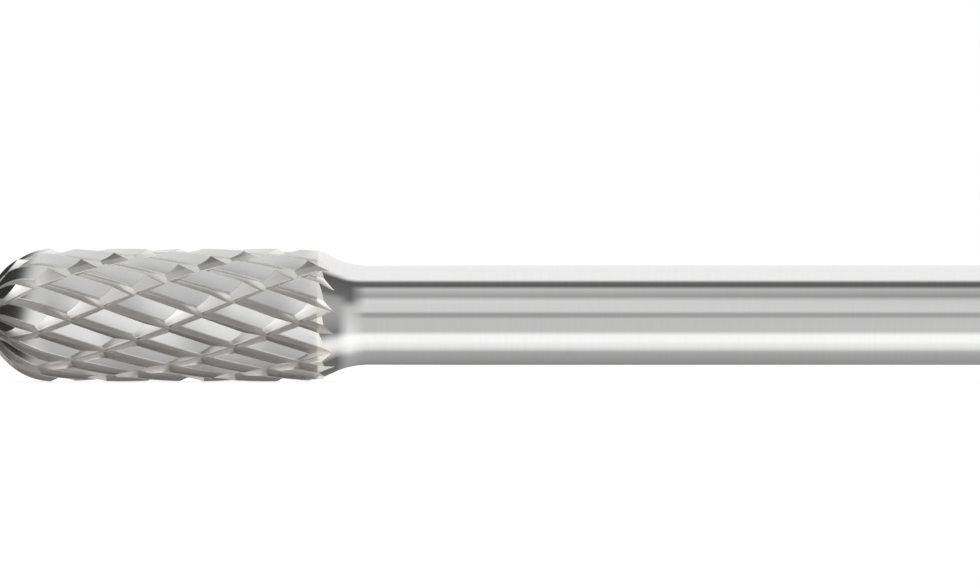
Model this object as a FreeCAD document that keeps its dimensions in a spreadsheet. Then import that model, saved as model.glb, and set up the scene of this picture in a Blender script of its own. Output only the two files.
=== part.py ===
import FreeCAD, Part
import Sketcher
import math
import os

os.makedirs("parts", exist_ok=True)

# Carbide burr, ball-nosed cylinder shape, with double-cut teeth: a tungsten carbide head brazed
# to a steel shank, then ground in one set-up, so the flutes run on over the braze into the neck.
# Millimetres. The tool's axis is X, its nose points to -X, and the origin is the centre of the
# shank's end face.

doc = FreeCAD.newDocument("carbide_burr")

# Driving dimensions. Angles are in degrees about the axis, and they are measured from -Y towards -Z.
SIZES = [
    ("head_diameter", 8.0, "over the cutting edges"),
    ("head_length", 20.0, "nose to braze, ball nose included"),
    ("braze_thickness", 0.1, "film of braze between head and shank"),
    ("shank_diameter", 6.0, "plain part that a collet holds"),
    ("shank_length", 44.9, "braze to end face, neck included"),
    ("neck_radius", 4.5, "hollow arc from the head's diameter down to the shank"),
    ("end_chamfer", 0.4, "on the shank's free end"),
    ("flute_count", 16, "right-hand flutes, one for each row of teeth"),
    ("flute_lead", 70.0, "length of one turn of a flute"),
    ("flute_depth", 0.58, "cutting edge to the bottom of a flute"),
    ("flute_start", 15.6, "angle of one cutting edge where the shank begins"),
    ("heel_depth", 0.22, "drop from the cutting edge to the heel of a tooth"),
    ("heel_share", 0.64, "share of a tooth's pitch that its relieved back takes"),
    ("foot_share", 0.965, "share of the pitch at which the next tooth's rake face begins"),
    ("breaker_count", 8, "left-hand chip-breaker grooves that cross the flutes"),
    ("breaker_lead", 56.0, "length of one turn of a groove"),
    ("breaker_depth", 0.52, "cutting edge to the bottom of a groove"),
    ("breaker_start", 0.8, "angle of one groove's bottom where the shank begins"),
    ("breaker_nose_side", 2.2, "length along the axis of the wall towards the nose"),
    ("breaker_shank_side", 0.25, "length along the axis of the wall towards the shank"),
    ("breaker_clear", 0.15, "height to which a groove's gauge stands over the cutting edges"),
    ("nose_land", 0.45, "radius of the plain point that the flutes leave on the nose"),
    ("nose_run_in", 1.5, "growth in radius over which the flutes reach full depth"),
    ("room_clear", 1.0, "by which the pieces' plain rooms stand clear of the teeth"),
]

# Sizes that follow from the others.
FORMULAS = [
    ("neck_step", "(head_diameter - shank_diameter) / 2", "drop from the head to the shank"),
    ("neck_length", "sqrt(neck_radius ^ 2 - (neck_radius - neck_step) ^ 2)", "along the axis"),
    ("neck_end", "neck_length - shank_length", "place where the plain shank begins"),
    ("head_face", "-shank_length - braze_thickness", "place of the head's flat face"),
    ("nose", "head_face - head_length", "place of the nose's point"),
    ("ball_centre", "nose + head_diameter / 2", "place of the ball nose's centre"),
]

sheet = doc.addObject("Spreadsheet::Sheet", "sizes")
written = [(alias, str(value), note) for alias, value, note in SIZES]
written += [(alias, "=" + formula, note) for alias, formula, note in FORMULAS]
for row, (alias, content, note) in enumerate(written, start=1):
    sheet.set(f"A{row}", alias)
    sheet.set(f"B{row}", content)
    sheet.set(f"C{row}", note)
    sheet.setAlias(f"B{row}", alias)
doc.recompute()


def size(alias):
    return float(sheet.get(alias))


def plane(body, role):
    return next(part for part in body.Origin.OriginFeatures if part.Role == role)


# Steel shank as turned: the neck's hollow arc, the plain shank and the chamfered end, revolved
# about X. The neck starts at the head's full diameter, and its arc ends tangent to the shank.
HEAD_RADIUS = size("head_diameter") / 2
SHANK_RADIUS = size("shank_diameter") / 2
SHANK_LENGTH = size("shank_length")
NECK_RADIUS = size("neck_radius")
NECK_END = size("neck_end")
CHAMFER = size("end_chamfer")

shank_blank = doc.addObject("PartDesign::Body", "shank_blank")
profile = shank_blank.newObject("Sketcher::SketchObject", "shank_profile")
profile.AttachmentSupport = [(plane(shank_blank, "XZ_Plane"), "")]
profile.MapMode = "FlatFace"

arc_centre = FreeCAD.Vector(NECK_END, SHANK_RADIUS + NECK_RADIUS, 0)
start_angle = math.atan2(HEAD_RADIUS - arc_centre.y, -SHANK_LENGTH - NECK_END)
corners = [
    FreeCAD.Vector(-SHANK_LENGTH, 0, 0),
    FreeCAD.Vector(-SHANK_LENGTH, HEAD_RADIUS, 0),
    FreeCAD.Vector(NECK_END, SHANK_RADIUS, 0),
    FreeCAD.Vector(-CHAMFER, SHANK_RADIUS, 0),
    FreeCAD.Vector(0, SHANK_RADIUS - CHAMFER, 0),
    FreeCAD.Vector(0, 0, 0),
]
arc = Part.ArcOfCircle(
    Part.Circle(arc_centre, FreeCAD.Vector(0, 0, 1), NECK_RADIUS), start_angle, -math.pi / 2
)
face_line = profile.addGeometry(Part.LineSegment(corners[0], corners[1]), False)
neck_arc = profile.addGeometry(arc, False)
shank_line = profile.addGeometry(Part.LineSegment(corners[2], corners[3]), False)
chamfer_line = profile.addGeometry(Part.LineSegment(corners[3], corners[4]), False)
end_line = profile.addGeometry(Part.LineSegment(corners[4], corners[5]), False)
axis_line = profile.addGeometry(Part.LineSegment(corners[5], corners[0]), False)


def constrain(kind, *arguments, name="", expression=""):
    index = profile.addConstraint(Sketcher.Constraint(kind, *arguments))
    if name:
        profile.renameConstraint(index, name)
        profile.setExpression(f"Constraints.{name}", expression)


START, END, ORIGIN = 1, 2, -1
constrain("Coincident", face_line, END, neck_arc, START)
constrain("Tangent", neck_arc, END, shank_line, START)
constrain("Coincident", shank_line, END, chamfer_line, START)
constrain("Coincident", chamfer_line, END, end_line, START)
constrain("Coincident", end_line, END, axis_line, START)
constrain("Coincident", axis_line, END, face_line, START)
constrain("Coincident", end_line, END, ORIGIN, START)
constrain("Vertical", face_line)
constrain("Horizontal", shank_line)
constrain("Vertical", end_line)
constrain("Horizontal", axis_line)
constrain("DistanceX", axis_line, END, axis_line, START, SHANK_LENGTH,
          name="length", expression="sizes.shank_length")
constrain("DistanceY", face_line, START, face_line, END, HEAD_RADIUS,
          name="head_radius", expression="sizes.head_diameter / 2")
constrain("DistanceY", ORIGIN, START, shank_line, END, SHANK_RADIUS,
          name="shank_radius", expression="sizes.shank_diameter / 2")
constrain("Radius", neck_arc, NECK_RADIUS, name="neck_radius", expression="sizes.neck_radius")
constrain("DistanceX", shank_line, END, end_line, START, CHAMFER,
          name="chamfer_run", expression="sizes.end_chamfer")
constrain("DistanceY", end_line, START, shank_line, END, CHAMFER,
          name="chamfer_rise", expression="sizes.end_chamfer")

turning = shank_blank.newObject("PartDesign::Revolution", "shank_turning")
turning.Profile = profile
turning.ReferenceAxis = (profile, ["H_Axis"])
turning.Angle = 360

# Braze: a film of the head's diameter between the head and the shank.
along_x = FreeCAD.Rotation(FreeCAD.Vector(0, 1, 0), 90)
braze_blank = doc.addObject("Part::Cylinder", "braze_blank")
braze_blank.Placement = FreeCAD.Placement(FreeCAD.Vector(0, 0, 0), along_x)
braze_blank.setExpression("Radius", "sizes.head_diameter / 2")
braze_blank.setExpression("Height", "sizes.braze_thickness")
braze_blank.setExpression(".Placement.Base.x", "sizes.head_face")

# Toothed bar: the form that the grinding wheel leaves. It has a ball nose, and then a constant
# diameter that carries on past the neck. Every flute keeps one lead over the nose and the
# cylinder. At each station along the axis the bar's section is a ring of saw teeth: cutting edge,
# relieved back, heel, flute wall, and the foot of the next tooth's rake face.
BALL_CENTRE = size("ball_centre")
BALL_STEPS = 9
STATION_STEP = 1.7
RUN_OUT = 0.5
BAR_END = NECK_END + RUN_OUT


def stations():
    """Places along the axis, each with the radius over the cutting edges there."""
    first = math.asin(size("nose_land") / HEAD_RADIUS)
    places = []
    for step in range(BALL_STEPS):
        polar = first + (math.pi / 2 - first) * step / BALL_STEPS
        places.append((BALL_CENTRE - HEAD_RADIUS * math.cos(polar), HEAD_RADIUS * math.sin(polar)))
    steps = math.ceil((BAR_END - BALL_CENTRE) / STATION_STEP)
    for step in range(steps + 1):
        places.append((BALL_CENTRE + (BAR_END - BALL_CENTRE) * step / steps, HEAD_RADIUS))
    return places


def on_bar(place, angle, depth, lead):
    """A point at a depth under the cutting edges, on a helix that has the angle at the shank."""
    x, edge_radius = place
    share = min(1.0, (edge_radius - size("nose_land")) / size("nose_run_in"))
    radius = edge_radius - (depth * share if depth > 0 else depth)
    turn = math.radians(angle + 360 * (x + SHANK_LENGTH) / lead)
    return FreeCAD.Vector(x, -radius * math.cos(turn), -radius * math.sin(turn))


def facet(*points):
    return Part.Face(Part.makePolygon([*points, points[0]]))


def skin(rings):
    """Triangles from each ring of points to the next, with every patch split the shorter way."""
    faces = []
    for ring, after in zip(rings, rings[1:]):
        for i in range(len(ring)):
            k = (i + 1) % len(ring)
            if ring[i].distanceToPoint(after[k]) < ring[k].distanceToPoint(after[i]):
                faces.append(facet(ring[i], ring[k], after[k]))
                faces.append(facet(ring[i], after[k], after[i]))
            else:
                faces.append(facet(ring[i], ring[k], after[i]))
                faces.append(facet(ring[k], after[k], after[i]))
    return faces


def closed(faces):
    shell = Part.makeShell(faces)
    shell.sewShape()
    solid = Part.makeSolid(shell)
    if solid.Volume < 0:
        solid.reverse()
    return solid


FLUTE_COUNT = round(size("flute_count"))
FLUTE_PITCH = 360 / FLUTE_COUNT
TOOTH = [
    (0.0, 0.0),
    (size("heel_share"), size("heel_depth")),
    (size("foot_share"), size("flute_depth")),
]


def toothed_bar():
    rings = []
    for place in stations():
        ring = []
        for tooth in range(FLUTE_COUNT):
            edge = size("flute_start") + tooth * FLUTE_PITCH
            for share, depth in TOOTH:
                ring.append(on_bar(place, edge + share * FLUTE_PITCH, depth, size("flute_lead")))
        rings.append(ring)
    tip = FreeCAD.Vector(size("nose"), 0, 0)
    first = rings[0]
    point = [facet(tip, first[i - 1], first[i]) for i in range(len(first))]
    return closed(skin(rings) + point + [facet(*rings[-1])])


# Chip breakers: left-hand V grooves across the teeth. The gauge is the solid that one groove
# takes away: a long wall that rises gently to the nose, and a short steep wall that leaves an edge
# on the teeth behind it. Both walls are carried on to a height clear of the cutting edges.
def breaker_gauge():
    depth = size("breaker_depth")
    clear = size("breaker_clear")
    lead = -size("breaker_lead")
    turn_rate = 360 / size("breaker_lead")
    overrun = (depth + clear) / depth
    bottom = size("breaker_start")
    before = bottom - turn_rate * size("breaker_nose_side") * overrun
    after = bottom + turn_rate * size("breaker_shank_side") * overrun
    middle = (before + after) / 2
    corners = [(before, -clear), (bottom, depth), (after, -clear), (middle, -clear)]
    rings = [[on_bar(place, angle, drop, lead) for angle, drop in corners] for place in stations()]
    return closed(skin(rings) + [facet(*rings[0]), facet(*rings[-1])])


def around(solid, count):
    turned = []
    for i in range(count):
        copy = solid.copy()
        copy.rotate(FreeCAD.Vector(0, 0, 0), FreeCAD.Vector(1, 0, 0), 360 * i / count)
        turned.append(copy)
    return Part.makeCompound(turned)


fluted_bar = doc.addObject("Part::Feature", "fluted_bar")
fluted_bar.Shape = toothed_bar()
breakers = doc.addObject("Part::Feature", "breakers")
breakers.Shape = around(breaker_gauge(), round(size("breaker_count")))
ground_bar = doc.addObject("Part::Cut", "ground_bar")
ground_bar.Base = fluted_bar
ground_bar.Tool = breakers

# Each piece takes its own length of the toothed bar. The rooms are plain cylinders that stand
# clear of the teeth and end at the piece's faces.
def room(name, start, length):
    cylinder = doc.addObject("Part::Cylinder", name)
    cylinder.Placement = FreeCAD.Placement(FreeCAD.Vector(0, 0, 0), along_x)
    cylinder.setExpression("Radius", "sizes.head_diameter / 2 + sizes.room_clear")
    cylinder.setExpression("Height", length)
    cylinder.setExpression(".Placement.Base.x", start)
    return cylinder


head_room = room("head_room", "sizes.nose - sizes.room_clear",
                 "sizes.head_length + sizes.room_clear")
carbide_head = doc.addObject("Part::Common", "carbide_head")
carbide_head.Base = ground_bar
carbide_head.Tool = head_room

neck_room = room("neck_room", "sizes.head_face - sizes.room_clear",
                 "sizes.neck_end - sizes.head_face + sizes.room_clear")
wheel_path = doc.addObject("Part::Cut", "wheel_path")
wheel_path.Base = neck_room
wheel_path.Tool = ground_bar

braze_joint = doc.addObject("Part::Cut", "braze_joint")
braze_joint.Base = braze_blank
braze_joint.Tool = wheel_path
steel_shank = doc.addObject("Part::Cut", "steel_shank")
steel_shank.Base = shank_blank
steel_shank.Tool = wheel_path

doc.recompute()

for item in doc.Objects:
    if "Invalid" in item.State or "Error" in item.State:
        raise RuntimeError(f"{item.Name} failed: {item.State}")
for piece in (carbide_head, braze_joint, steel_shank):
    shape = piece.Shape
    if shape.isNull() or not shape.isValid():
        raise RuntimeError(f"{piece.Label} has no valid shape")
    shape.exportStep(f"parts/{piece.Label}.step")
    print(piece.Label, len(shape.Solids), "solid", len(shape.Faces), "faces", round(shape.Volume, 2))
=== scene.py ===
# %% [markdown]
# # A carbide burr on a white table
# A carbide burr is a small rotary file. Its head is sintered tungsten carbide, brazed to a steel
# shank, and a diamond wheel then grinds the teeth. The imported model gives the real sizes, and
# this lesson gives the burr its fine teeth and its finish.

# %% Load the frame
import bpy
import math
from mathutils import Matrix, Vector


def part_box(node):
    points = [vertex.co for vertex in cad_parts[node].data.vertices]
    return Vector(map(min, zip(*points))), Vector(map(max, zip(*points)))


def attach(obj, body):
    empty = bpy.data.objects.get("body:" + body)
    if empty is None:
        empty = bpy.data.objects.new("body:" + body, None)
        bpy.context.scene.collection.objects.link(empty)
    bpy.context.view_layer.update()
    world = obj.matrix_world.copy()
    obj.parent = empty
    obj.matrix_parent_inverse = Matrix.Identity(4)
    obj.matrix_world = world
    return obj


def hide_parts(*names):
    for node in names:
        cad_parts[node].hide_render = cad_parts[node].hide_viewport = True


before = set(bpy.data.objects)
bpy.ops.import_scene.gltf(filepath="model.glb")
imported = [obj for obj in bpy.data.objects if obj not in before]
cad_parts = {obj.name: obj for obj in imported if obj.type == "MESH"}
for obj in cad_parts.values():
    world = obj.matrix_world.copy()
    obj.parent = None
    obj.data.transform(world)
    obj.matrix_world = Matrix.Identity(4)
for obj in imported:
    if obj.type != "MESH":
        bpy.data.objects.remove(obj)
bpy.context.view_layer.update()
MM = 0.001


print("nodes:", sorted(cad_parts))

# %% [markdown]
# ## Where things are
# The tool's axis is X and the origin is the centre of the shank's end face. The nose points to
# -X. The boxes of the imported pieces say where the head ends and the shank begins, so nothing
# here can drift away from the model. The radii are the real tool's own.

# %% Lengths along the axis, and radii
head_low, head_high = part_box("carbide_head")
NOSE = head_low[0]
HEAD_FACE = head_high[0]
SHANK_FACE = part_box("braze_joint")[1][0]
HEAD_RADIUS = 4.0 * MM
SHANK_RADIUS = 3.0 * MM
NECK_RADIUS = 4.5 * MM
CHAMFER = 0.4 * MM
NECK_LENGTH = math.sqrt(NECK_RADIUS**2 - (NECK_RADIUS - HEAD_RADIUS + SHANK_RADIUS) ** 2)
NECK_END = SHANK_FACE + NECK_LENGTH
BALL_CENTRE = NOSE + HEAD_RADIUS
print("nose, head face, shank face and neck end in mm:",
      [round(x / MM, 2) for x in (NOSE, HEAD_FACE, SHANK_FACE, NECK_END)])

# %% [markdown]
# ## Maths on wires
# Node trees are easier to read as formulas. A Wire holds one output of a node, and Python's
# operators on it add Math nodes. The Bench adds every other kind of node, for shaders and for
# Geometry Nodes alike.

# %% The wire
class Wire:
    """One output of a node, on which Python's operators add Math nodes."""

    def __init__(self, bench, output):
        self.bench = bench
        self.output = output

    def maths(self, operation, *others):
        values = dict(enumerate((self, *others)))
        return self.bench.put("ShaderNodeMath", {"operation": operation}, values)

    def __add__(self, other):
        return self.maths("ADD", other)

    def __radd__(self, other):
        return self.maths("ADD", other)

    def __sub__(self, other):
        return self.maths("SUBTRACT", other)

    def __rsub__(self, other):
        return self.bench.put("ShaderNodeMath", {"operation": "SUBTRACT"}, {0: other, 1: self})

    def __mul__(self, other):
        return self.maths("MULTIPLY", other)

    def __rmul__(self, other):
        return self.maths("MULTIPLY", other)

    def __truediv__(self, other):
        return self.maths("DIVIDE", other)

    def __rtruediv__(self, other):
        return self.bench.put("ShaderNodeMath", {"operation": "DIVIDE"}, {0: other, 1: self})

    def clamped(self):
        return self.maths("MINIMUM", 1.0).maths("MAXIMUM", 0.0)


# %% The bench
class Bench:
    """A node tree being wired: put adds a node, and fill gives a node's inputs values or wires."""

    def __init__(self, tree):
        self.tree = tree

    def put(self, kind, settings=None, values=None, output=0):
        node = self.tree.nodes.new(kind)
        for name, value in (settings or {}).items():
            if name == "stops":
                self.set_stops(node.color_ramp.elements, value)
            else:
                setattr(node, name, value)
        self.fill(node, values or {})
        return Wire(self, node.outputs[output]) if node.outputs else None

    def fill(self, node, values):
        for key, value in values.items():
            if isinstance(value, Wire):
                self.tree.links.new(value.output, node.inputs[key])
            else:
                node.inputs[key].default_value = value

    def set_stops(self, stops, tones):
        """Grey tones along a ramp. Its own two stops, at 0 and 1, take the first and the last."""
        for place, tone in tones[1:-1]:
            stops.new(place)
        for stop, (place, tone) in zip(stops, tones):
            stop.color = (tone, tone, tone, 1.0)


# %% Points and soft steps
def point(bench, x, y, z):
    return bench.put("ShaderNodeCombineXYZ", values={0: x, 1: y, 2: z})


def split(bench, place):
    """The three coordinates of a point, each on its own wire."""
    return [bench.put("ShaderNodeSeparateXYZ", values={0: place}, output=axis) for axis in range(3)]


def ramp_up(value, low, high):
    """A soft step: 0 up to low, 1 from high."""
    return ((value - low) / (high - low)).clamped()


# %% [markdown]
# ## The rule of the teeth
# Flutes with a right-hand helix make sixteen rows of saw teeth. Left-hand grooves, the chip
# breakers, cross them, so each row becomes a chain of short teeth. Both keep one lead over the
# ball nose and the cylinder. Shapes that follow such a rule suit Geometry Nodes: a grid of points
# is laid along the tool and around it, and formulas move each point to its place.

# %% Sizes of the teeth and the shank, as named inputs
TOOTH_SIZES = {
    "Head Radius": HEAD_RADIUS,
    "Ball Centre": BALL_CENTRE,
    "Shank Face": SHANK_FACE,
    "Flutes": 16.0,
    "Flute Lead": 70.0 * MM,
    "Flute Start": math.radians(15.6),
    "Flute Depth": 0.58 * MM,
    "Heel Depth": 0.22 * MM,
    "Heel Share": 0.64,
    "Foot Share": 0.965,
    "Breakers": 8.0,
    "Breaker Lead": 56.0 * MM,
    "Breaker Start": math.radians(0.8),
    "Breaker Depth": 0.52 * MM,
    "Breaker Nose Side": 2.2 * MM,
    "Breaker Shank Side": 0.25 * MM,
    "Breaker Clear": 0.15 * MM,
    "Nose Land": 0.45 * MM,
    "Nose Run In": 1.5 * MM,
}
SHANK_SIZES = {
    **TOOTH_SIZES,
    "Shank Radius": SHANK_RADIUS,
    "Neck Radius": NECK_RADIUS,
    "Neck End": NECK_END,
    "Chamfer": CHAMFER,
}
TEETH = round(TOOTH_SIZES["Flutes"])
GROOVE_PITCH = TOOTH_SIZES["Breaker Lead"] / TOOTH_SIZES["Breakers"]
print(TEETH, "rows of teeth, with a groove each", round(GROOVE_PITCH / MM, 2), "mm along the axis")


def new_tree(name, sizes):
    """A Geometry Nodes tree with named inputs, its bench and a wire for each input."""
    tree = bpy.data.node_groups.new(name, "GeometryNodeTree")
    tree.interface.new_socket("Geometry", in_out="OUTPUT", socket_type="NodeSocketGeometry")
    for label, value in sizes.items():
        socket = tree.interface.new_socket(label, in_out="INPUT", socket_type="NodeSocketFloat")
        socket.default_value = value
    bench = Bench(tree)
    wires = {label: bench.put("NodeGroupInput", output=label) for label in sizes}
    return tree, bench, wires


# %% [markdown]
# ## A grid rolled round the axis
# Every solid here is a flat grid at first. Its rows become places along the axis and its columns
# angles around it. The first and the last row shrink to a point on the axis, which closes the
# ends, and points that meet at the seam are merged.

# %% The grid
MERGE = 0.0005 * MM


def grid(bench, rows, columns):
    """A grid of points, with wires for each point's row and column counted from 0."""
    mesh = bench.put("GeometryNodeMeshGrid", values={
        "Size X": 1.0, "Size Y": 1.0, "Vertices X": rows, "Vertices Y": columns})
    across, along = split(bench, bench.put("GeometryNodeInputPosition"))[:2]
    return mesh, (across + 0.5) * (rows - 1), (along + 0.5) * (columns - 1)


def off_axis(row, rows):
    """1 on the rows between the first and the last, and 0 on those two, which close the ends."""
    return row.maths("GREATER_THAN", 0.5) * row.maths("LESS_THAN", rows - 1.5)


def along_surface(row, rows, start, end):
    """The length along the surface at a row, the same at an end's last two rows."""
    return (end - start) * ((row - 1.0) / (rows - 3)).clamped() + start


def around_axis(radius, turn):
    """How far forward and how far down a point lies from its radius and its angle from the front."""
    return radius * turn.maths("COSINE"), radius * turn.maths("SINE")


def moved_to(bench, mesh, x, forward, down):
    return bench.put("GeometryNodeSetPosition", values={
        "Geometry": mesh, "Position": point(bench, x, forward * -1.0, down * -1.0)})


def closed(bench, mesh):
    """Joins the seam and the poles, where the grid's points meet."""
    return bench.put("GeometryNodeMergeByDistance", values={"Geometry": mesh, "Distance": MERGE})


def outward(bench, mesh):
    """Turns the faces of a grid that was rolled up with its top side inwards."""
    return bench.put("GeometryNodeFlipFaces", values={"Mesh": mesh})


# %% [markdown]
# ## A toothed bar
# The grinding wheel leaves the same teeth on the carbide, the braze and the neck, so one recipe
# makes all three. Rows of the grid follow the nose and then the cylinder by the length along the
# surface. Columns follow the tooth's profile, with more of them where it turns sharply.

# %% The bar
COLUMNS_A_TOOTH = (5, 4, 3)
ROUNDING = 0.25


def envelope(wires, length):
    """Place along the axis and radius over the cutting edges, from the length along the surface."""
    radius = wires["Head Radius"]
    quarter = radius * (math.pi / 2)
    polar = (length / radius).maths("MINIMUM", math.pi / 2)
    x = wires["Ball Centre"] - radius * polar.maths("COSINE") + (length - quarter).maths("MAXIMUM", 0.0)
    return x, radius * polar.maths("SINE")


def strides(counter, corners, counts):
    """Walks from corner to corner in equal strides, as many for each stretch as counts says."""
    place, start = corners[0], 0
    for before, after, count in zip(corners, corners[1:], counts):
        place = (after - before) * ((counter - start) / count).clamped() + place
        start += count
    return place


def section(corners, counter, counts):
    """A straight-sided profile through corners, each given as its radius and its angle."""
    spots = [around_axis(radius, turn) for radius, turn in corners]
    forward = strides(counter, [spot[0] for spot in spots], counts)
    down = strides(counter, [spot[1] for spot in spots], counts)
    return forward, down


def bar(bench, wires, start, end, rows):
    """The toothed bar between two lengths along its surface, closed at both ends."""
    per_tooth = sum(COLUMNS_A_TOOTH)
    mesh, row, column = grid(bench, rows, per_tooth * TEETH + 1)
    x, edge_radius = envelope(wires, along_surface(row, rows, start, end))

    run_in = ((edge_radius - wires["Nose Land"]) / wires["Nose Run In"]).clamped()
    tooth = ((column + ROUNDING) / per_tooth).maths("FLOOR")
    pitch = (2 * math.pi) / wires["Flutes"]
    helix = (x - wires["Shank Face"]) * (2 * math.pi) / wires["Flute Lead"]
    edge_turn = wires["Flute Start"] + helix + tooth * pitch
    heel = (edge_radius - wires["Heel Depth"] * run_in, edge_turn + wires["Heel Share"] * pitch)
    foot = (edge_radius - wires["Flute Depth"] * run_in, edge_turn + wires["Foot Share"] * pitch)
    corners = [(edge_radius, edge_turn), heel, foot, (edge_radius, edge_turn + pitch)]
    corners = [(radius * off_axis(row, rows), turn) for radius, turn in corners]
    profile = section(corners, column - tooth * per_tooth, COLUMNS_A_TOOTH)
    return outward(bench, closed(bench, moved_to(bench, mesh, x, *profile)))


# %% [markdown]
# ## Chip breakers
# One groove is made as the solid that the wheel takes away: a V between a gentle wall and a
# steeper one, carried on to a height clear of the teeth. Eight turned copies are then cut from
# the bar with a Mesh Boolean node, which gives crisp edges where the wall meets each tooth. The
# groove's depth runs out towards the pole of the nose, where the solid rises clear of the carbide.

# %% The grooves' solid
BREAKER_ROWS = 220
BREAKER_COUNTS = (4, 2, 4)


def breaker(bench, wires, start, end):
    """The solid that the wheel takes away, between two lengths along the surface."""
    mesh, row, column = grid(bench, BREAKER_ROWS, sum(BREAKER_COUNTS) + 1)
    rim = off_axis(row, BREAKER_ROWS)
    x, edge_radius = envelope(wires, along_surface(row, BREAKER_ROWS, start, end))

    overrun = (wires["Breaker Depth"] + wires["Breaker Clear"]) / wires["Breaker Depth"]
    run_in = ((edge_radius - wires["Nose Land"]) / wires["Nose Run In"]).maths("MINIMUM", 1.0)
    top = edge_radius + wires["Breaker Clear"]
    bottom = edge_radius - wires["Breaker Depth"] * run_in

    def turn(offset):
        along = x - wires["Shank Face"] - offset * rim
        return wires["Breaker Start"] - along * (2 * math.pi) / wires["Breaker Lead"]

    nose_top = (top, turn(wires["Breaker Nose Side"] * overrun * -1.0))
    deepest = (top + (bottom - top) * rim, turn(x * 0.0))
    shank_top = (top, turn(wires["Breaker Shank Side"] * overrun))
    profile = section([nose_top, deepest, shank_top, nose_top], column, BREAKER_COUNTS)
    return closed(bench, moved_to(bench, mesh, x, *profile))


def breakers(bench, wires, start, end):
    """All the grooves' solids, turned about the axis."""
    count = wires["Breakers"]
    spots = bench.put("GeometryNodeMeshLine", values={"Count": count, "Offset": (0.0, 0.0, 0.0)})
    spin = point(bench, bench.put("GeometryNodeInputIndex") * (2 * math.pi) / count, 0.0, 0.0)
    copies = bench.put("GeometryNodeInstanceOnPoints", values={
        "Points": spots, "Instance": breaker(bench, wires, start, end), "Rotation": spin})
    return bench.put("GeometryNodeRealizeInstances", values={0: copies})


def carved(bench, body, tool):
    """The body less the tool."""
    return bench.put("GeometryNodeMeshBoolean", {"operation": "DIFFERENCE", "solver": "MANIFOLD"}, {
        "Mesh 1": body, "Mesh 2": tool})


# %% [markdown]
# ## Finishing a tree
# Ground faces meet in crisp edges, so only the gentle ones are shaded smooth. Every tree ends in
# Realize Instances and Set Material, and its result becomes a plain mesh.

# %% Edges, material and the plain mesh
CRISP = math.radians(6)


def finish_tree(bench, mesh, material):
    smooth_faces = bench.put("GeometryNodeSetShadeSmooth", {"domain": "FACE"}, {
        "Geometry": mesh, "Shade Smooth": True})
    angle = bench.put("GeometryNodeInputMeshEdgeAngle")
    crisp = bench.put("FunctionNodeCompare", {"operation": "GREATER_THAN"}, {0: angle, 1: CRISP})
    edged = bench.put("GeometryNodeSetShadeSmooth", {"domain": "EDGE"}, {
        "Geometry": smooth_faces, "Selection": crisp, "Shade Smooth": False})
    whole = bench.put("GeometryNodeRealizeInstances", values={0: edged})
    painted = bench.put("GeometryNodeSetMaterial", values={"Geometry": whole, "Material": material})
    bench.put("NodeGroupOutput", values={"Geometry": painted})


def grown(name, tree, sizes, material):
    """Runs a tree on an empty mesh and keeps the result as a plain mesh object."""
    seedling = bpy.data.objects.new(name + "_seed", bpy.data.meshes.new(name + "_seed"))
    bpy.context.scene.collection.objects.link(seedling)
    modifier = seedling.modifiers.new("Rule", "NODES")
    modifier.node_group = tree
    for item in tree.interface.items_tree:
        if item.in_out == "INPUT":
            modifier[item.identifier] = sizes[item.name]
    bpy.context.view_layer.update()
    ready = seedling.evaluated_get(bpy.context.evaluated_depsgraph_get())
    mesh = bpy.data.meshes.new_from_object(ready)
    mesh.name = name
    bpy.data.objects.remove(seedling)
    piece = bpy.data.objects.new(name, mesh)
    bpy.context.scene.collection.objects.link(piece)
    if not mesh.materials:
        mesh.materials.append(material)
    mesh.calc_loop_triangles()
    print(name, len(mesh.vertices), "points", len(mesh.loop_triangles), "triangles")
    return piece


# %% [markdown]
# ## Materials
# Ground carbide, silver braze and polished steel are bare metals. Painted maps could give them
# their marks, but the same formulas that shape the teeth also say where a point lies on a tooth,
# so colour and roughness follow each ground face exactly. A freshly ground face scatters some
# light, and is a little less than fully metallic for that.

# %% Helpers for the materials
MIX_FIRST, MIX_SECOND, MIX_COLOUR = 6, 7, 2


def new_material(name):
    """A material, its bench and its shader."""
    material = bpy.data.materials.new(name)
    material.use_nodes = True
    return material, Bench(material.node_tree), material.node_tree.nodes["Principled BSDF"]


def mixed(bench, factor, first, second):
    """A colour between two colours, each given as red, green and blue or as a wire."""
    ends = [colour if isinstance(colour, Wire) else (*colour, 1.0) for colour in (first, second)]
    values = {0: factor, MIX_FIRST: ends[0], MIX_SECOND: ends[1]}
    return bench.put("ShaderNodeMix", {"data_type": "RGBA"}, values, output=MIX_COLOUR)


def clouds(bench, place, scale, detail):
    """Soft noise from 0 to 1, at so many clouds a metre."""
    return bench.put("ShaderNodeTexNoise", values={"Vector": place, "Scale": scale, "Detail": detail})


def round_the_axis(bench):
    """A surface point, its place along the axis, its angle from the front and its radius."""
    place = bench.put("ShaderNodeTexCoord", output="Object")
    x, y, z = split(bench, place)
    return place, x, (z * -1.0).maths("ARCTAN2", y * -1.0), (y * y + z * z).maths("SQRT")


# %% [markdown]
# ### Where a point lies on the teeth
# Each flute's profile has two straight sides, the land and the gullet wall. A point under both of
# them can only have been cut by a groove, which tells the grooves' faces from the flutes'.

# %% Tooth coordinates
GROOVE_FROM = 0.002 * MM
GROOVE_SURE = 0.008 * MM


def cutting_radius(x):
    """Radius over the cutting edges at a place along the axis."""
    short = (BALL_CENTRE - x).maths("MAXIMUM", 0.0)
    return (HEAD_RADIUS**2 - short * short).maths("MAXIMUM", 0.0).maths("SQRT")


def chord(low, high, angle, whole):
    """Radius of a straight line at an angle, between two radii that a whole angle parts."""
    beside = low * angle.maths("SINE") + high * (whole - angle).maths("SINE")
    return low * high * math.sin(whole) / beside


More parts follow.
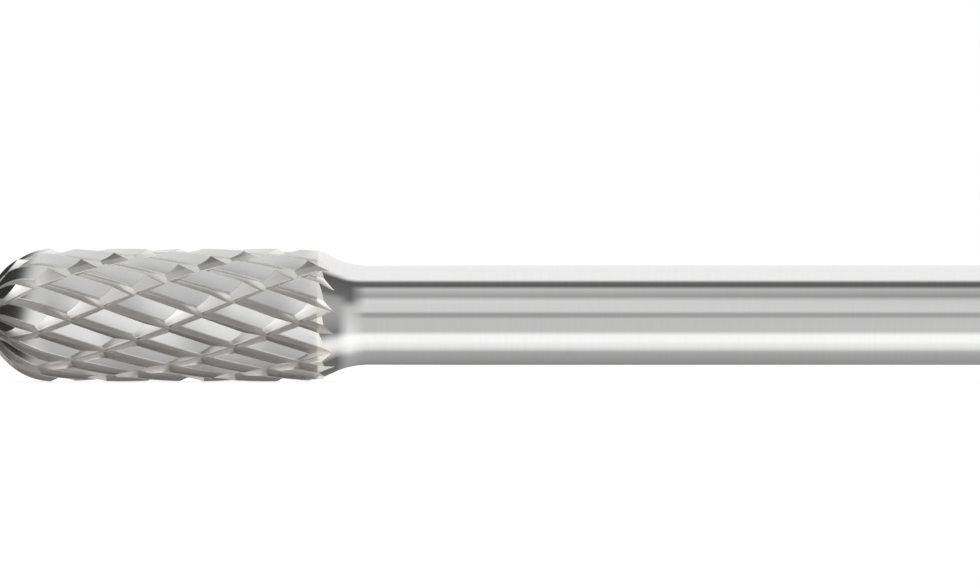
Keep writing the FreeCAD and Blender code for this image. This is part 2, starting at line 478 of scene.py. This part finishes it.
def tooth_place(bench):
    """Where a surface point lies on the teeth: its share of the flutes' pitch, its place along the
    axis from a groove's bottom, its depth under the cutting edges, and 1 inside a groove."""
    place, x, turn, out = round_the_axis(bench)
    sizes = TOOTH_SIZES
    past_braze = x - SHANK_FACE
    helix = past_braze * (2 * math.pi / sizes["Flute Lead"])
    share = ((turn - sizes["Flute Start"] - helix) * (sizes["Flutes"] / (2 * math.pi))).maths("FRACT")
    wound = past_braze + (turn - sizes["Breaker Start"]) * (sizes["Breaker Lead"] / (2 * math.pi))
    along = ((wound / GROOVE_PITCH + 0.5).maths("FRACT") - 0.5) * GROOVE_PITCH

    edge = cutting_radius(x)
    run_in = ramp_up(edge, sizes["Nose Land"], sizes["Nose Land"] + sizes["Nose Run In"])
    heel = edge - run_in * sizes["Heel Depth"]
    foot = edge - run_in * sizes["Flute Depth"]
    pitch = 2 * math.pi / sizes["Flutes"]
    heel_angle, foot_angle = sizes["Heel Share"] * pitch, sizes["Foot Share"] * pitch
    land = chord(edge, heel, share * pitch, heel_angle)
    wall = chord(heel, foot, share * pitch - heel_angle, foot_angle - heel_angle)
    groove = ramp_up(land.maths("MINIMUM", wall) - out, GROOVE_FROM, GROOVE_SURE)
    return place, x, share, along, edge - out, groove


# %% [markdown]
# ### Faces, burrs and painted highlights of a tooth
# The gullet wall and the groove are painted lighter than the land, a painted light, and from the
# brow on the groove's lower part is a darker grey. A wheel throws up a thin burr where two ground
# faces meet. It is far finer than the mesh, so a Bump node raises it. The burrs and the cutting
# edge are also painted near white, a painted highlight for the thin lines of light there.

# %% Faces and burrs
HEEL = TOOTH_SIZES["Heel Share"]
FOOT = TOOTH_SIZES["Foot Share"]
HEEL_BLUR = 0.01
RAKE_FROM, RAKE_SURE = FOOT - 0.015, FOOT + 0.003
BROW = -0.5 * MM
BROW_BLUR = 0.2 * MM
LIP_WIDTH = 0.03
LIP_FROM, LIP_SURE = 0.05 * MM, 0.02 * MM
HEEL_BURR = 0.05
BROW_BURR_BEFORE, BROW_BURR_AFTER = 0.16 * MM, 0.14 * MM


def ridge(value, middle, before, after):
    """1 at the middle, falling to 0 at a distance before it and after it."""
    return ramp_up(value, middle - before, middle) * ramp_up(value, middle + after, middle)


def tooth_faces(share, along, groove):
    """How far a point belongs to the gullet wall, to the lower part of a groove and to the rake."""
    wall = ramp_up(share, HEEL - HEEL_BLUR, HEEL + HEEL_BLUR) * (1.0 - groove)
    valley = groove * ramp_up(along, BROW, BROW + BROW_BLUR)
    return wall, valley, ramp_up(share, RAKE_FROM, RAKE_SURE)


def burrs_and_highlights(share, along, depth, groove, rake):
    """The painted highlight along the cutting edge, and the burrs at the heel and across a groove's
    wall, which a painted highlight also lightens.
    """
    # The line along the cutting edge is a painted highlight only.
    behind_edge = 1.0 - ramp_up(share, 0.0, LIP_WIDTH)
    edge_highlight = (1.0 - groove) * behind_edge.maths("MAXIMUM", rake * ramp_up(depth, LIP_FROM, LIP_SURE))
    heel = (1.0 - groove) * ridge(share, HEEL, HEEL_BURR, HEEL_BURR)
    brow = groove * ridge(along, BROW, BROW_BURR_BEFORE, BROW_BURR_AFTER)
    return edge_highlight, heel.maths("MAXIMUM", brow)


# %% [markdown]
# ### Ground carbide
# Carbide is grey with faint olive patches. The rake faces turn from the light, and a painted shade
# darkens them, most of it towards the cutting edge. Near the braze the heat left a cream tint.

# %% Colours of the carbide
LAND_DARK, LAND_LIGHT = (0.56, 0.56, 0.56), (0.68, 0.68, 0.68)
MARKS_SHOW = 0.4
OLIVE, OLIVE_COVER = (0.61, 0.62, 0.56), 0.5
OLIVE_FROM, OLIVE_SURE = 0.52, 0.68
# The gullet wall and the groove are painted lighter than the land, a painted light.
PAINTED_LIGHT_FACE = (0.98, 0.97, 0.95)
VALLEY_FACE = (0.64, 0.63, 0.61)
# The rake faces' near-black colour is painted shade.
PAINTED_RAKE_SHADE = (0.03, 0.02, 0.015)
SHADE_AT_ROOT, SHADE_AT_EDGE = 0.2, 0.7
# The near white of the burrs and of the cutting edge is a painted highlight.
PAINTED_HIGHLIGHT, HIGHLIGHT_COVER = (1.0, 0.98, 0.95), 0.9
HEAT_TINT, TINT_COVER = (0.95, 0.90, 0.83), 0.5
TINT_FROM, TINT_SURE = 0.42, 0.55
TINT_REACH = 0.9 * MM
CLOUDS_A_METRE = 700.0
PATCHES_A_METRE = 330.0


def carbide_colour(bench, place, x, depth, marks, faces, groove, light):
    wall, valley, rake = faces
    cloud = clouds(bench, place, CLOUDS_A_METRE, 3.0)
    patch = ramp_up(clouds(bench, place, PATCHES_A_METRE, 2.0), OLIVE_FROM, OLIVE_SURE)
    grain = cloud * (1.0 - MARKS_SHOW) + marks * MARKS_SHOW
    colour = mixed(bench, grain, LAND_DARK, LAND_LIGHT)
    colour = mixed(bench, patch * OLIVE_COVER, colour, OLIVE)
    # The gullet wall and the groove painted lighter, a painted light; from the brow on, the groove's
    # lower part takes a darker grey.
    colour = mixed(bench, groove.maths("MAXIMUM", wall), colour, PAINTED_LIGHT_FACE)
    colour = mixed(bench, valley, colour, VALLEY_FACE)

    rise = 1.0 - (depth / TOOTH_SIZES["Flute Depth"]).clamped()
    rake_shade = rise.maths("POWER", 0.5) * (SHADE_AT_EDGE - SHADE_AT_ROOT) + SHADE_AT_ROOT
    # Painted shade darkens the rake faces, most of it towards the cutting edge.
    colour = mixed(bench, rake * (1.0 - groove) * rake_shade, colour, PAINTED_RAKE_SHADE)
    # Painted highlight along the burrs and the cutting edge.
    colour = mixed(bench, light * HIGHLIGHT_COVER, colour, PAINTED_HIGHLIGHT)
    tint = ramp_up(x, HEAD_FACE - TINT_REACH, HEAD_FACE) * ramp_up(cloud, TINT_FROM, TINT_SURE)
    return mixed(bench, tint * TINT_COVER, colour, HEAT_TINT)


# %% The carbide
MARKS_ALONG, MARKS_ACROSS, MARKS_DEEP = 260.0, 40.0, 60000.0
CARBIDE_ROUGH = 0.20
ROUGHER_MARKS, ROUGHER_GULLET, ROUGHER_BURR = 0.12, 0.14, 0.25
GULLET_BLUR = 0.05 * MM
WALL_SCATTER, BURR_SCATTER = 0.5, 0.3
MARKS_STRENGTH, MARKS_HEIGHT = 0.04, 0.02 * MM
BURR_HEIGHT = 0.03 * MM


def carbide_material():
    material, bench, shader = new_material("ground_carbide")
    place, x, share, along, depth, groove = tooth_place(bench)
    stretched = point(bench, x * MARKS_ALONG, share * MARKS_ACROSS, depth * MARKS_DEEP)
    marks = clouds(bench, stretched, 1.0, 4.0)
    wall, valley, rake = tooth_faces(share, along, groove)
    edge_highlight, burr_and_highlight = burrs_and_highlights(share, along, depth, groove, rake)
    # Where the painted highlight goes: the cutting edge and the burrs.
    light = edge_highlight.maths("MAXIMUM", burr_and_highlight)

    heel_depth = TOOTH_SIZES["Heel Depth"]
    gullet = ramp_up(depth, heel_depth, heel_depth + GULLET_BLUR)
    rough = marks * ROUGHER_MARKS + CARBIDE_ROUGH + gullet * ROUGHER_GULLET + light * ROUGHER_BURR
    scatter = (wall * (1.0 - rake) * WALL_SCATTER).maths("MAXIMUM", light * BURR_SCATTER)
    fine = bench.put("ShaderNodeBump", values={
        "Strength": MARKS_STRENGTH, "Distance": MARKS_HEIGHT, "Height": marks})
    raised = bench.put("ShaderNodeBump", values={
        "Strength": 1.0, "Distance": BURR_HEIGHT, "Height": burr_and_highlight, "Normal": fine})
    faces = (wall, valley, rake)
    bench.fill(shader, {
        "Base Color": carbide_colour(bench, place, x, depth, marks, faces, groove, light),
        "Roughness": rough, "Metallic": 1.0 - scatter, "Normal": raised})
    return material


carbide = carbide_material()
print(carbide.name, len(carbide.node_tree.nodes), "nodes")

# %% [markdown]
# ### Polished steel
# The shank is ground and polished to a mirror. Only the marks that the wheel leaves in the neck
# are fresh, matt and cream. They lie below the turned radius, so that radius tells them apart.

# %% The steel
STEEL_DARK, STEEL_LIGHT = (0.90, 0.90, 0.89), (0.95, 0.95, 0.95)
FRESH_STEEL_DARK, FRESH_STEEL_LIGHT = (0.97, 0.94, 0.89), (1.0, 0.99, 0.97)
LINES_ALONG, LINES_AROUND = 6000.0, 2.0
SPECKS_A_METRE = 1500.0
CUT_FROM, CUT_SURE = 0.004 * MM, 0.012 * MM
NECK_BLUR = 0.1 * MM
STEEL_ROUGH = 0.05
ROUGHER_LINES, ROUGHER_CUT = 0.05, 0.25
CUT_SCATTER = 0.15


def turned_radius(x, sizes):
    """Radius of the turned steel at a place along the axis, with the hollow neck."""
    hollow = sizes["Neck Radius"]
    run = (sizes["Neck End"] - x).maths("MAXIMUM", 0.0)
    return sizes["Shank Radius"] + hollow - (hollow * hollow - run * run).maths("SQRT")


def steel_material():
    material, bench, shader = new_material("polished_steel")
    place, x, turn, out = round_the_axis(bench)
    stretched = point(bench, x * LINES_ALONG, turn.maths("SINE") * LINES_AROUND,
                      turn.maths("COSINE") * LINES_AROUND)
    lines = clouds(bench, stretched, 1.0, 3.0)
    cut = ramp_up(turned_radius(x, SHANK_SIZES) - out, CUT_FROM, CUT_SURE)
    cut = cut * ramp_up(NECK_END - x, 0.0, NECK_BLUR)

    polished = mixed(bench, lines, STEEL_DARK, STEEL_LIGHT)
    specks = clouds(bench, place, SPECKS_A_METRE, 3.0)
    fresh = mixed(bench, specks, FRESH_STEEL_DARK, FRESH_STEEL_LIGHT)
    bench.fill(shader, {
        "Base Color": mixed(bench, cut, polished, fresh),
        "Roughness": lines * ROUGHER_LINES + STEEL_ROUGH + cut * ROUGHER_CUT,
        "Metallic": 1.0 - cut * CUT_SCATTER})
    return material


steel = steel_material()
print(steel.name, len(steel.node_tree.nodes), "nodes")

# %% [markdown]
# ### Silver braze
# The braze is a film of silver alloy a tenth of a millimetre thick. Ground flush with the teeth,
# it shows as a thin cream line.

# %% The braze
BRAZE_DARK, BRAZE_LIGHT = (0.98, 0.95, 0.87), (1.0, 0.98, 0.94)
BRAZE_METALLIC = 0.85
BRAZE_ROUGH, ROUGHER_SPECKS = 0.35, 0.1


def braze_material():
    material, bench, shader = new_material("silver_braze")
    specks = clouds(bench, bench.put("ShaderNodeTexCoord", output="Object"), SPECKS_A_METRE, 3.0)
    bench.fill(shader, {
        "Base Color": mixed(bench, specks, BRAZE_DARK, BRAZE_LIGHT),
        "Roughness": specks * ROUGHER_SPECKS + BRAZE_ROUGH,
        "Metallic": BRAZE_METALLIC})
    return material


braze = braze_material()
print(braze.name, len(braze.node_tree.nodes), "nodes")

# %% [markdown]
# ## The carbide head
# The head is the bar from the nose to the braze, less the eight grooves. It replaces the packed
# head, whose teeth have flat facets.

# %% Grow the head
HEAD_LENGTH_ALONG = HEAD_RADIUS * math.pi / 2 + HEAD_FACE - BALL_CENTRE
LAND_LENGTH = HEAD_RADIUS * math.asin(TOOTH_SIZES["Nose Land"] / HEAD_RADIUS)
BEYOND = 1.0 * MM
HEAD_ROWS = 220

tree, bench, wires = new_tree("toothed_head", TOOTH_SIZES)
blank = bar(bench, wires, 0.0, HEAD_LENGTH_ALONG, HEAD_ROWS)
grooves = breakers(bench, wires, LAND_LENGTH, HEAD_LENGTH_ALONG + BEYOND)
finish_tree(bench, carved(bench, blank, grooves), carbide)
head = grown("toothed_head", tree, TOOTH_SIZES, carbide)

# %% [markdown]
# ## The braze film
# The wheel runs on over the braze, so the film is cut from the same bar. A plain ring would stand
# out of the gullets.

# %% Grow the braze
BRAZE_ROWS = 4
FACE_LENGTH = HEAD_LENGTH_ALONG + SHANK_FACE - HEAD_FACE

tree, bench, wires = new_tree("braze_film", TOOTH_SIZES)
film = bar(bench, wires, HEAD_LENGTH_ALONG, FACE_LENGTH, BRAZE_ROWS)
grooves = breakers(bench, wires, HEAD_LENGTH_ALONG - 4 * BEYOND, FACE_LENGTH + BEYOND)
finish_tree(bench, carved(bench, film, grooves), braze)
braze_film = grown("braze_film", tree, TOOTH_SIZES, braze)

# %% [markdown]
# ## The shank
# The shank is turned first: a formula gives its radius at each place along the axis. The wheel
# lifts out of the neck and leaves pointed marks. They are what a round blank loses outside the
# toothed bar, so the bar is cut from a plain cylinder, and what is left is cut from the shank.

# %% Grow the shank
SHANK_COLUMNS = 193
SHANK_COUNTS = (40, 4, 2)
NECK_ROWS = 24
BLANK_SIDES = 64


def turned_shank(bench, wires):
    """The shank as it leaves the lathe: hollow neck, plain length and chamfered end."""
    rows = sum(SHANK_COUNTS) + 3
    mesh, row, column = grid(bench, rows, SHANK_COLUMNS)
    ends = [wires["Shank Face"], wires["Neck End"], wires["Chamfer"] * -1.0, wires["Chamfer"] * 0.0]
    x = strides((row - 1.0).maths("MAXIMUM", 0.0), ends, SHANK_COUNTS)
    chamfered = wires["Shank Radius"] - wires["Chamfer"] - x
    radius = turned_radius(x, wires).maths("MINIMUM", chamfered) * off_axis(row, rows)
    turn = column * (2 * math.pi / (SHANK_COLUMNS - 1))
    return outward(bench, closed(bench, moved_to(bench, mesh, x, *around_axis(radius, turn))))


def wheel_path(bench, wires):
    """What the grinding wheel takes away round the neck."""
    reach = FACE_LENGTH + NECK_LENGTH
    teeth = bar(bench, wires, HEAD_LENGTH_ALONG - 2 * BEYOND, reach + BEYOND, NECK_ROWS)
    grooves = breakers(bench, wires, HEAD_LENGTH_ALONG - 4 * BEYOND, reach + 2 * BEYOND)
    blank = bench.put("GeometryNodeMeshCylinder", values={
        "Vertices": BLANK_SIDES, "Radius": HEAD_RADIUS + BEYOND, "Depth": BEYOND + NECK_LENGTH})
    blank = bench.put("GeometryNodeTransform", values={
        "Geometry": blank, "Rotation": (0.0, math.pi / 2, 0.0),
        "Translation": (SHANK_FACE + (NECK_LENGTH - BEYOND) / 2, 0.0, 0.0)})
    return carved(bench, blank, carved(bench, teeth, grooves))


tree, bench, wires = new_tree("ground_shank", SHANK_SIZES)
ground = carved(bench, turned_shank(bench, wires), wheel_path(bench, wires))
finish_tree(bench, ground, steel)
shank = grown("ground_shank", tree, SHANK_SIZES, steel)

# %% [markdown]
# ## Hanging the pieces on the frame
# Each grown piece stands for its imported node, which is hidden, and rides on the frame's root.

# %% Ride and replace
for piece, node, slot in ((head, "carbide_head", "carbide"), (braze_film, "braze_joint", "braze"),
                          (shank, "steel_shank", "steel")):
    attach(piece, "root")
    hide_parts(node)
    print(piece.name, "replaces", node, "with slot", slot)

# %% [markdown]
# ## The studio
# Polished metal shows its surroundings, so the studio is a ring of long light panels round the
# tool's axis, with dark gaps between them. Lamps would only make small spots on a cylinder, so the
# panels are drawn in the world. Each direction is turned into the slope of the surface that
# mirrors it to the camera: twice the slope up or down is the elevation, and the slope along the
# tool is the tilt. The shank looks straight across. The lands look a little towards the nose, the
# grooves' walls and the neck towards the shank, and each of these has a ring of its own. A dark
# card stands beyond the nose.

# %% Levels of the panels
ACROSS = [
    (-180, 0.20), (-95, 0.40), (-84, 0.75), (-62, 1.00), (-48, 1.00), (-38, 0.55), (-8, 0.55),
    (-4, 0.35), (4, 0.35), (8, 0.65), (33, 0.70), (44, 0.35), (62, 0.55), (71, 0.10),
    (82, 0.15), (90, 0.90), (180, 0.90)]
NOSEWARD = [
    (-180, 0.75), (-134, 0.50), (-104, 0.85), (-84, 0.65), (-70, 1.30), (-14, 1.35),
    (-4, 0.85), (46, 1.00), (180, 1.15)]
GROOVEWARD = [
    (-180, 0.30), (-110, 0.40), (-98, 0.55), (-84, 0.90), (-62, 1.10), (-50, 1.10),
    (-38, 0.75), (16, 0.55), (34, 0.15), (80, 0.10), (90, 0.90), (180, 0.90)]
SHANKWARD = [
    (-180, 0.15), (-100, 0.15), (-76, 0.75), (-66, 0.90), (-54, 0.85), (-36, 0.20), (-14, 0.30),
    (14, 0.40), (34, 0.35), (46, 0.15), (82, 0.10), (96, 0.90), (180, 0.90)]

# %% World
NOSEWARD_TILTS = (-2.0, -5.0)
GROOVEWARD_TILTS = (0.0, 11.0)
SHANKWARD_TILTS = (13.0, 22.0)
CARD_TILTS = (-20.0, -30.0)
CARD, CARD_COVER = (0.02, 0.02, 0.02), 0.98
WHITE = (1.0, 1.0, 1.0)

world = bpy.data.worlds.new("studio")
bpy.context.scene.world = world
world.use_nodes = True
bench = Bench(world.node_tree)
dx, dy, dz = split(bench, bench.put("ShaderNodeTexCoord", output="Generated"))
behind = 1.0 - dy
elevation = dz.maths("ARCTAN2", behind) * (360 / math.pi)
tilt = dx.maths("ARCTAN2", (behind * behind + dz * dz).maths("SQRT")) * (180 / math.pi)


def panels(levels):
    """The light that a ring of panels sends, by its elevation in degrees from the front."""
    tones = [((angle + 180) / 360, level) for angle, level in levels]
    return bench.put("ShaderNodeValToRGB", {"stops": tones}, {0: (elevation + 180.0) / 360.0})


light = mixed(bench, ramp_up(tilt, *NOSEWARD_TILTS), panels(ACROSS), panels(NOSEWARD))
light = mixed(bench, ramp_up(tilt, *GROOVEWARD_TILTS), light, panels(GROOVEWARD))
light = mixed(bench, ramp_up(tilt, *SHANKWARD_TILTS), light, panels(SHANKWARD))
light = mixed(bench, ramp_up(tilt, *CARD_TILTS) * CARD_COVER, light, CARD)
seen = bench.put("ShaderNodeLightPath", output="Is Camera Ray")
bench.fill(world.node_tree.nodes["Background"], {"Color": mixed(bench, seen, light, WHITE)})
print("studio of", len(world.node_tree.nodes), "nodes")

# %% [markdown]
# ## The table
# The burr lies on a white table that fades into the white behind it. The table glows for the
# camera alone, so it looks white and still takes a shadow, and reflections don't show it.

# %% Table
TABLE_REACH = 3.0
TABLE_GAP = 0.02 * MM
TABLE_TOP = -HEAD_RADIUS - TABLE_GAP
TABLE_PAINT = (0.5, 0.5, 0.5, 1.0)
TABLE_GLOW = (0.75, 0.75, 0.75)
TABLE_ROUGH = 0.9
BLACK = (0.0, 0.0, 0.0)

corners = [(-TABLE_REACH, -TABLE_REACH), (TABLE_REACH, -TABLE_REACH), (TABLE_REACH, TABLE_REACH),
           (-TABLE_REACH, TABLE_REACH)]
table_mesh = bpy.data.meshes.new("table")
table_mesh.from_pydata([(x, y, TABLE_TOP) for x, y in corners], [], [(0, 1, 2, 3)])
table = bpy.data.objects.new("table", table_mesh)
bpy.context.scene.collection.objects.link(table)
table.visible_glossy = False
material, bench, shader = new_material("white_table")
seen = bench.put("ShaderNodeLightPath", output="Is Camera Ray")
bench.fill(shader, {
    "Base Color": TABLE_PAINT, "Roughness": TABLE_ROUGH, "Emission Strength": 1.0,
    "Emission Color": mixed(bench, seen, BLACK, TABLE_GLOW)})
table.data.materials.append(material)
print("table top at z", round(TABLE_TOP / MM, 2), "mm")

# %% [markdown]
# ## The camera
# The photograph looks square at the tool, as from far off, so the lens is a long one. It shows
# 16.6 pixels to a millimetre, and the pixels of the braze line and of the axis then give the
# camera's place.

# %% Camera
PIXELS_PER_MM = 16.6
IMAGE_WIDTH = 980
IMAGE_HEIGHT = 588
BRAZE_PIXEL = 319.0
AXIS_PIXEL = 315.1
LENS = 300.0
SENSOR = 36.0
CLIP_START = 0.01

view_x = (HEAD_FACE + SHANK_FACE) / 2 + (IMAGE_WIDTH / 2 - BRAZE_PIXEL) / PIXELS_PER_MM * MM
view_z = (AXIS_PIXEL - IMAGE_HEIGHT / 2) / PIXELS_PER_MM * MM
distance = IMAGE_WIDTH / PIXELS_PER_MM * MM * LENS / SENSOR
camera_data = bpy.data.cameras.new("camera")
camera_data.lens = LENS
camera_data.sensor_width = SENSOR
camera_data.clip_start = CLIP_START
camera = bpy.data.objects.new("camera", camera_data)
camera.location = (view_x, -distance, view_z)
camera.rotation_euler = (math.pi / 2, 0.0, 0.0)
bpy.context.scene.collection.objects.link(camera)
bpy.context.scene.camera = camera
bpy.context.scene.view_settings.view_transform = "Standard"
print("camera", round(distance / MM), "mm in front of the tool")
